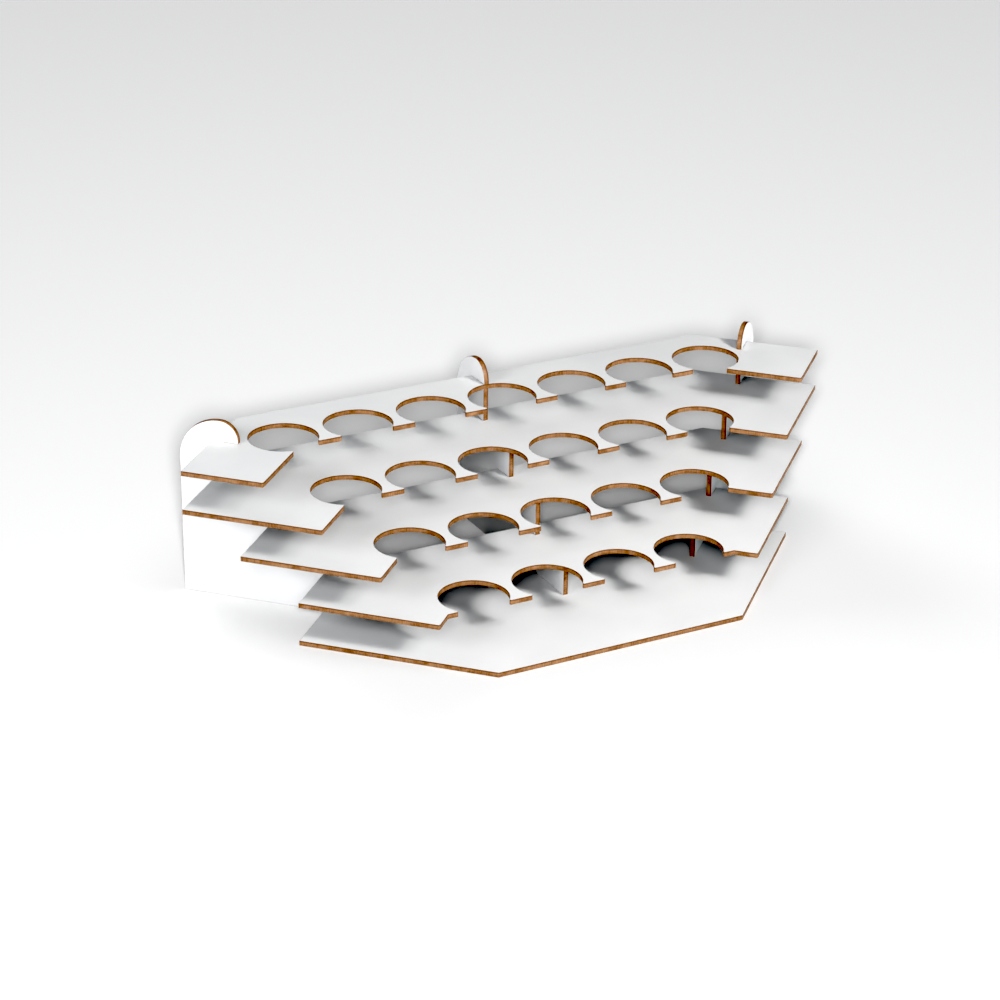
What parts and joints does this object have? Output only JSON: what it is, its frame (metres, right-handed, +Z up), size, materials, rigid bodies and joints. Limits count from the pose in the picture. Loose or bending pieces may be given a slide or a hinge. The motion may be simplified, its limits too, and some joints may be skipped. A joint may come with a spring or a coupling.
{
  "type": "paint rack organizer",
  "caption": "Stepped corner rack for paint jars: slotted flat boards with open-fronted round cut-outs, carried on upright ribs above a plain base.",
  "frame": {"origin": "middle of the whole rack's footprint, on the surface it stands on", "axes": "+X to the right along the rows of jars, seen from the front; +Y back towards the corner of the walls; +Z up"},
  "size_m": [0.4242, 0.2082, 0.111],
  "materials": {
    "white_board": "matt white face on 3 mm hardboard"
  },
  "bodies": {
    "root": {"top_shelf": "white_board", "second_shelf": "white_board", "third_shelf": "white_board", "fourth_shelf": "white_board", "base_plate": "white_board", "left_rib": "white_board", "middle_rib": "white_board", "right_rib": "white_board"}
  },
  "joints": []
}
